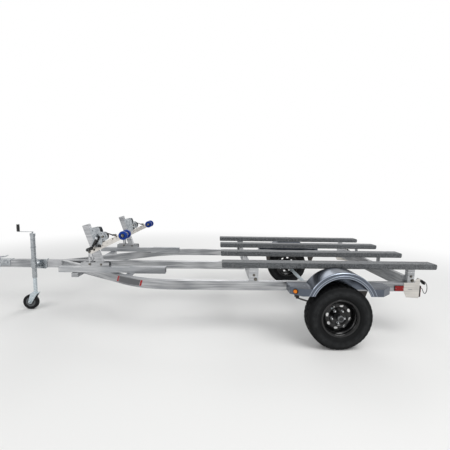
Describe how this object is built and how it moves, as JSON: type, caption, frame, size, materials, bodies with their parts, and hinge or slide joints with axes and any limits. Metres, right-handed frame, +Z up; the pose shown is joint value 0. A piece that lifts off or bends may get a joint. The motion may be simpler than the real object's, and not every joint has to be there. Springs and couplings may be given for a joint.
{
  "type": "boat trailer",
  "caption": "Aluminium single-axle trailer with carpeted bunks, winch stands, bow wheels and a swing-up jack, for carrying two small watercraft side by side.",
  "frame": {"origin": "on the ground, under the middle of the trailer's length and width", "axes": "+X to the trailer's rear, +Y to its right side, +Z up"},
  "size_m": [5.82, 2.426, 1.2376],
  "materials": {
    "aluminium_mill": "mill-finish extruded aluminium, faint drawing lines",
    "aluminium_sheet": "formed aluminium sheet, satin",
    "zinc_plate": "zinc-plated steel",
    "galvanised": "hot-dip galvanised steel",
    "spring_steel": "black painted spring steel, rusting at its edges",
    "rim_black": "gloss black enamel",
    "hub_chrome": "chromed and bright steel",
    "tyre_rubber": "matt black rubber",
    "carpet_charcoal": "charcoal heathered carpet over boards",
    "roller_blue": "royal blue moulded rubber",
    "strap_black": "woven black webbing",
    "grip_black": "black moulded plastic",
    "lens_red": "red lens",
    "lens_amber": "amber lens"
  },
  "bodies": {
    "chassis": {"tongue": "aluminium_mill", "coupler": "zinc_plate", "coupler_latch": "zinc_plate", "rail_left": "aluminium_mill", "rail_right": "aluminium_mill", "crossmember_front": "aluminium_mill", "crossmember_rear": "aluminium_mill", "winch_beam_outriggers": "aluminium_mill", "axle_tube": "galvanised", "leaf_springs": "spring_steel", "spring_hangers": "spring_steel", "fender_left": "aluminium_sheet", "fender_right": "aluminium_sheet", "bunk_outer_left": "carpet_charcoal", "bunk_inner_left": "carpet_charcoal", "bunk_inner_right": "carpet_charcoal", "bunk_outer_right": "carpet_charcoal", "bunk_brackets_front": "aluminium_mill", "bunk_brackets_rear": "aluminium_mill", "winch_sleeves": "aluminium_mill", "winch_beam_left": "aluminium_mill", "winch_beam_right": "aluminium_mill", "winch_stand_left": "aluminium_mill", "winch_stand_right": "aluminium_mill", "bow_arm_left": "aluminium_mill", "bow_arm_right": "aluminium_mill", "winch_frames": "zinc_plate", "winch_drums": "zinc_plate", "winch_straps": "strap_black", "winch_cranks": "zinc_plate", "winch_pawls": "grip_black", "jack_mount": "zinc_plate", "lamp_plates": "aluminium_mill", "lamp_leads": "grip_black", "tail_lamps": "lens_red", "marker_lamps_red": "lens_red", "marker_lamps_amber": "lens_amber"},
    "wheel_left": {"hub_left": "hub_chrome", "rim_left": "rim_black", "tyre_left": "tyre_rubber"},
    "wheel_right": {"hub_right": "hub_chrome", "rim_right": "rim_black", "tyre_right": "tyre_rubber"},
    "bow_wheels_left": {"bow_wheels_left": "roller_blue"},
    "bow_wheels_right": {"bow_wheels_right": "roller_blue"},
    "jack": {"jack_tube": "zinc_plate", "jack_crank": "zinc_plate"},
    "jack_leg": {"jack_leg": "galvanised"},
    "jack_wheel": {"jack_wheel": "tyre_rubber"}
  },
  "joints": [
    {"name": "wheel_left_spin", "type": "hinge", "parent": "chassis", "child": "wheel_left", "pos_m": [1.747, -1.105, 0.345], "axis": [0, 1, 0], "continuous": true},
    {"name": "wheel_right_spin", "type": "hinge", "parent": "chassis", "child": "wheel_right", "pos_m": [1.747, 1.105, 0.345], "axis": [0, 1, 0], "continuous": true},
    {"name": "bow_wheels_left_spin", "type": "hinge", "parent": "chassis", "child": "bow_wheels_left", "pos_m": [-0.641, -0.611, 1.114], "axis": [0, 1, 0], "continuous": true},
    {"name": "bow_wheels_right_spin", "type": "hinge", "parent": "chassis", "child": "bow_wheels_right", "pos_m": [-0.641, 0.611, 1.114], "axis": [0, 1, 0], "continuous": true},
    {"name": "jack_swing", "type": "hinge", "parent": "chassis", "child": "jack", "pos_m": [-2.015, -0.145, 0.61], "axis": [0, -1, 0], "range_deg": [0, 90]},
    {"name": "jack_leg_slide", "type": "slide", "parent": "jack", "child": "jack_leg", "axis": [0, 0, 1], "range_m": [0, 0.1985]},
    {"name": "jack_wheel_spin", "type": "hinge", "parent": "jack_leg", "child": "jack_wheel", "pos_m": [-2.08, -0.145, 0.1015], "axis": [0, 1, 0], "continuous": true}
  ],
  "couplings": [
    {"joint": "jack_leg_slide", "follows": "jack_swing", "m_per_rad": 0.12637}
  ]
}
